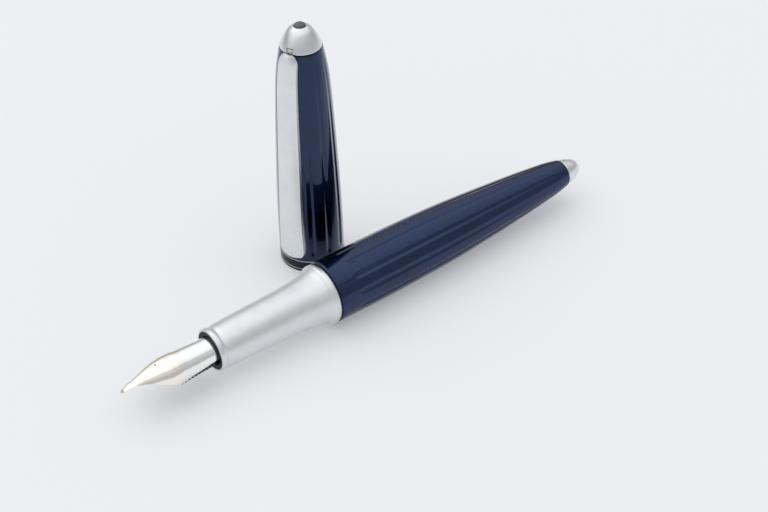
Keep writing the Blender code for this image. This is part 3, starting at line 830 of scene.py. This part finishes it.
def rim_band(look):
    """A band round the cap's mouth, edged by two hair-thin metal lines; its near-black, weakly reflecting finish
    is painted shade for the shadowed floor that the lip reflects.
    """
    edge = [(0.12, -0.1), (0.14, 0.006), (1.0, 0.012), (2.2, 0.012), (3.28, 0.008), (3.3, -0.1)]
    band = [(height, float(spline(CAP_OUTER, height)) + proud) for height, proud in edge]
    turned("rim_band", band, on_cap, "cap_shell", look["band"], 144, 0.005, stands_for=False)
    for number, height in enumerate(RIM_LINES):
        radius = float(spline(CAP_OUTER, height)) + 0.012
        top = height + RIM_LINE_WIDTH
        root = radius - 0.1
        line = [(height, root), (height, radius + 0.012), (top, radius + 0.014), (top, root)]
        turned(f"rim_line_{number}", line, on_cap, "cap_finial", look["trim"], 144, 0.005, stands_for=False)


def clip_section(height):
    """One section of the clip: a crowned strap whose sides fold down to the cap."""
    half = float(monotone(CLIP_HALF_WIDTHS, height))
    body = float(spline(CAP_OUTER, height))
    top = body + CLIP_STAND_OFF + CLIP_SHEET
    across = np.linspace(-1.0, 1.0, 15) * (half - CLIP_FOLD)
    crown = top - CLIP_CROWN * np.abs(across / half) ** CLIP_CROWN_POWER
    outer = np.stack([crown, across], axis=1)
    shoulder = outer[-1, 0]
    turn = np.linspace(0.25, 1.0, 4) * math.pi / 2
    drop = CLIP_FOLD * (1 - np.cos(turn))
    bend = np.stack([shoulder - drop, half - CLIP_FOLD + CLIP_FOLD * np.sin(turn)], axis=1)
    hug = CLIP_HUG + CLIP_TOP_ROOM * max(height - PIN[1], 0.0)
    foot = math.sqrt((body + hug) ** 2 - half**2)
    foot = min(foot, shoulder - 0.3)
    wall = min(CLIP_WALL, half * 0.45)
    ceiling = top - CLIP_CEILING
    inside = np.array([
        (foot, half), (foot - 0.03, half - 0.06), (foot, half - wall), (ceiling - 0.3, half - wall),
        (ceiling - 0.08, half - wall - 0.15),
    ])
    inside[3:, 0] = np.minimum(inside[3:, 0], shoulder - 0.2)
    inside[3:, 0] = np.maximum(inside[3:, 0], foot + 0.05)
    right = np.concatenate([bend, inside])
    left = right[::-1] * (1, -1)
    ring = np.concatenate([outer, right, left])
    return np.column_stack([ring, np.full(len(ring), height)])


def clip(look):
    """The strap with eased ends, and the knuckle and pad that ride with it."""
    stations = np.unique(np.concatenate([
        [CLIP_BOTTOM, 4.73, 4.78, 4.86, 4.96, 5.1, 5.3, 5.6, 6.0, 6.5, 7.0],
        np.linspace(7.5, 54.0, 48),
        [54.5, 55.0, 55.5, 55.9, 56.3, 56.6, 56.85, 57.05, 57.2, CLIP_TOP],
    ]))
    rings = [clip_section(s) for s in stations]
    for end, share in ((0, 0.06), (-1, 0.12)):
        rings[end][:, 0] -= share * (rings[end][:, 0] - rings[end][:, 0].min())
    piece("clip", skin(rings, capped=True), CAP_PLACE, "clip", look["clip"])
    knuckle(look)
    pad(look)


def knuckle(look):
    """Arm from the strap to the pin, with an eye round the pin and a tab that rises into the finial."""
    pin_x, pin_z = PIN
    turn = np.linspace(math.radians(80), math.radians(280), 14)
    eye = [(pin_x + EYE_RADIUS * math.cos(a), pin_z + EYE_RADIUS * math.sin(a)) for a in turn]
    arm = [
        (5.7, 54.15), (5.75, 55.6), (5.2, 56.0), (4.78, 56.3), (4.66, 57.1), (4.32, 57.95),
        (4.2, 58.03), (4.0, 58.03), (3.9, 57.9), (3.9, 56.1), (3.7, 55.8),
    ]
    outline = np.array(eye + arm)
    centre = outline.mean(axis=0)
    pull = (centre - outline) / np.linalg.norm(centre - outline, axis=1, keepdims=True)
    inner = TAB_HALF - 0.08
    rings = []
    for side, inset in ((-TAB_HALF, 0.1), (-inner, 0.02), (inner, 0.02), (TAB_HALF, 0.1)):
        flat = outline + pull * inset
        rings.append(np.column_stack([flat[:, 0], np.full(len(flat), side), flat[:, 1]]))
    arm_piece = piece(
        "clip_knuckle", skin(rings, capped=True), CAP_PLACE, "clip", look["steel_z"], stands_for=False
    )
    hole = helper(rod_mesh((pin_x, -3.0, pin_z), (pin_x, 3.0, pin_z), PIN_HOLE), CAP_PLACE)
    subtract(arm_piece, [hole])


def pad(look):
    """Small rounded pad inside the clip's free end, which rests on the cap."""
    profile = [(7.72, 0.0), (7.74, 0.45), (7.85, 0.75), (8.05, 0.9), (8.4, 0.9), (8.4, 0.0)]
    angles = np.linspace(0, math.tau, 32, endpoint=False)
    rings = []
    for reach, radius in profile:
        turn = angles if radius else np.array([0.0])
        height = PAD_HEIGHT + radius * np.cos(turn)
        rings.append(np.stack([reach + 0 * turn, radius * np.sin(turn), height], axis=1))
    piece("clip_pad", skin(rings), CAP_PLACE, "clip", look["clip"], stands_for=False)


def snap_ring(look):
    """Split spring ring of round wire with eased ends."""
    gap = math.radians(SNAP_GAP_DEG)
    turn = np.linspace(0, math.tau, 16, endpoint=False)
    radius = SNAP_RADIUS + SNAP_HALF_DEPTH * np.cos(turn)
    height = SNAP_HEIGHT + SNAP_HALF_HEIGHT * np.sin(turn)
    rings = []
    for angle in np.linspace(gap, math.tau - gap, 97):
        rings.append(np.stack([radius * math.cos(angle), radius * math.sin(angle), height], axis=1))
    piece("cap_snap_ring", skin(rings, capped=True), CAP_PLACE, "cap_snap_ring", look["steel_z"])


def cap_top(look):
    """Domed finial with its post, the recess for the clip's tab, and a plain inlaid disc."""
    cone = traced(spline, FINIAL_CONE, np.linspace(57.15, 61.7, 27))
    profile = [
        (53.0, 0.0), (53.0, 1.3), (56.5, 1.3), (56.5, 3.85), (57.05, 3.85), (57.05, 4.58), (57.08, 4.65),
        *cone, (61.74, 1.47), (61.72, 1.42), (61.3, 1.42), (61.3, 0.0),
    ]
    finial = piece("cap_finial", lathe(profile, on_cap, 144), CAP_PLACE, "cap_finial", look["trim"])
    clear = TAB_HALF + TAB_SPACE
    recess = helper(box_mesh((3.5, -clear, 56.0), (7.0, clear, 58.2)), CAP_PLACE)
    subtract(finial, [recess])
    inlay = [
        (61.4, 0.0), (61.4, 1.33), (61.78, 1.33), (61.95, 1.26), (62.1, 1.12), (62.26, 0.88), (62.38, 0.6),
        (62.46, 0.3), (62.5, 0.0),
    ]
    piece("finial_inlay", lathe(inlay, on_cap), CAP_PLACE, "finial_inlay", look["inlay"])


# ---- what stays from the frame -------------------------------------------------------------------


def carried_over(look):
    """CAD nodes whose shape is right keep it, and get these finishes."""
    chosen = {
        "section_liner": "plastic", "barrel_bushing": "brass_x", "tail_nut": "brass_x",
        "converter_guide": "plastic", "converter_drive_nut": "brass_x", "clip_carrier": "brass_z",
        "clip_pin": "steel_z", "clip_spring": "steel_z",
    }
    for node, finish in chosen.items():
        mesh = frame["nodes"][node].data
        mesh.materials.clear()
        mesh.materials.append(look[finish])


# ---- stage ---------------------------------------------------------------------------------------


def floor():
    """A wide pale sheet under the object, which glows a little so that its shadows stay pale."""
    mesh = bpy.data.meshes.new("floor")
    size = FLOOR_HALF
    corners = [(-size, -size, 0), (size, -size, 0), (size, size, 0), (-size, size, 0)]
    mesh.from_pydata(corners, [], [(0, 1, 2, 3)])
    sheet = bpy.data.objects.new("floor", mesh)
    bpy.context.scene.collection.objects.link(sheet)
    look = Finish("floor_paper", (0.9, 0.92, 0.94), 0.75, Emission_Strength=FLOOR_GLOW)
    look.shader.inputs["Emission Color"].default_value = (0.95, 0.98, 1.0, 1.0)
    distance = look.nodes.new("ShaderNodeVectorMath")
    distance.operation = "LENGTH"
    look.links.new(look.where, distance.inputs[0])
    look.tint(distance.outputs["Value"], FLOOR_NEAR, FLOOR_FAR, 0.4, 1.6)
    look.shader.inputs["Specular IOR Level"].default_value = 0.2
    mesh.materials.append(look.material)


def surroundings():
    """A tent that is bright overhead, dimmer towards its walls and dimmest on the far side low down.

    One dark strut crosses it.
    """
    world = bpy.data.worlds.new("studio")
    bpy.context.scene.world = world
    world.use_nodes = True
    nodes, links = world.node_tree.nodes, world.node_tree.links
    coordinates = nodes.new("ShaderNodeTexCoord")

    def towards(direction):
        node = nodes.new("ShaderNodeVectorMath")
        node.operation = "DOT_PRODUCT"
        node.inputs[1].default_value = Vector(direction).normalized()
        links.new(coordinates.outputs["Generated"], node.inputs[0])
        return node.outputs["Value"]

    def ramp(value, start, end, low, high):
        node = nodes.new("ShaderNodeMapRange")
        node.interpolation_type = "SMOOTHSTEP"
        for name, number in (("From Min", start), ("From Max", end), ("To Min", low), ("To Max", high)):
            node.inputs[name].default_value = number
        links.new(value, node.inputs["Value"])
        return node.outputs["Result"]

    def combine(operation, one, two):
        node = nodes.new("ShaderNodeMath")
        node.operation = operation
        links.new(one, node.inputs[0])
        links.new(two, node.inputs[1])
        return node.outputs["Value"]

    overhead = ramp(towards(TENT_TOP), 0.0, 0.9, TENT_LOW, TENT_HIGH)
    low_down = ramp(towards((0.0, 0.0, 1.0)), 0.1, 0.8, FAR_SHADE, 0.0)
    far_off = ramp(towards((0.0, 1.0, 0.0)), 0.2, 0.8, 0.0, 1.0)
    across = nodes.new("ShaderNodeMath")
    across.operation = "ABSOLUTE"
    links.new(towards((0.0, 1.0, 1.0)), across.inputs[0])
    strut = ramp(across.outputs["Value"], 0.015, 0.04, STRUT_SHARE, 1.0)
    background = nodes["Background"]
    background.inputs["Color"].default_value = (0.97, 0.985, 1.0, 1.0)
    lit = combine("ADD", combine("MULTIPLY", overhead, strut), combine("MULTIPLY", low_down, far_off))
    links.new(lit, background.inputs["Strength"])


def key_light():
    """A square softbox above and behind, aimed at the frame's origin."""
    data = bpy.data.lights.new("key", "AREA")
    data.shape = "SQUARE"
    data.size = KEY_SIZE
    data.energy = KEY_POWER
    lamp = bpy.data.objects.new("key", data)
    bpy.context.scene.collection.objects.link(lamp)
    lamp.location = KEY_PLACE
    lamp.rotation_euler = (-Vector(KEY_PLACE)).to_track_quat("-Z", "Y").to_euler()


def camera():
    data = bpy.data.cameras.new("camera")
    data.sensor_width = 36.0
    data.lens = CAMERA_LENS
    data.clip_start = 0.01
    eye = bpy.data.objects.new("camera", data)
    bpy.context.scene.collection.objects.link(eye)
    azimuth, elevation = math.radians(CAMERA_AZIMUTH), math.radians(CAMERA_ELEVATION)
    level = math.cos(elevation)
    back = Vector((math.sin(azimuth) * level, -math.cos(azimuth) * level, math.sin(elevation)))
    right = (-back).cross(Vector((0, 0, 1))).normalized()
    up = right.cross(-back)
    turn = Matrix((right, up, back)).transposed() @ Matrix.Rotation(math.radians(CAMERA_ROLL), 3, "Z")
    dx, dy, height = CAMERA_FROM_TIP
    place = Vector((PEN_TIP.x + dx * MM, PEN_TIP.y + dy * MM, height * MM))
    eye.matrix_world = Matrix.Translation(place) @ turn.to_4x4()
    bpy.context.scene.camera = eye


def build():
    look = finishes()
    camera()
    floor()
    surroundings()
    key_light()
    bpy.context.scene.view_settings.view_transform = "Standard"
    fluted_shell(
        "barrel_shell", BARREL_OUTER, BARREL_INNER, BARREL_FLUTES, BARREL_TURN, on_pen, look["barrel"]
    )
    nib(look)
    feed(look)
    grip(look)
    seal_and_tail(look)
    converter(look)
    cap_body(look)
    rim_band(look)
    clip(look)
    snap_ring(look)
    cap_top(look)
    carried_over(look)


def plain(box):
    return [list(corner) for corner in box]


build()
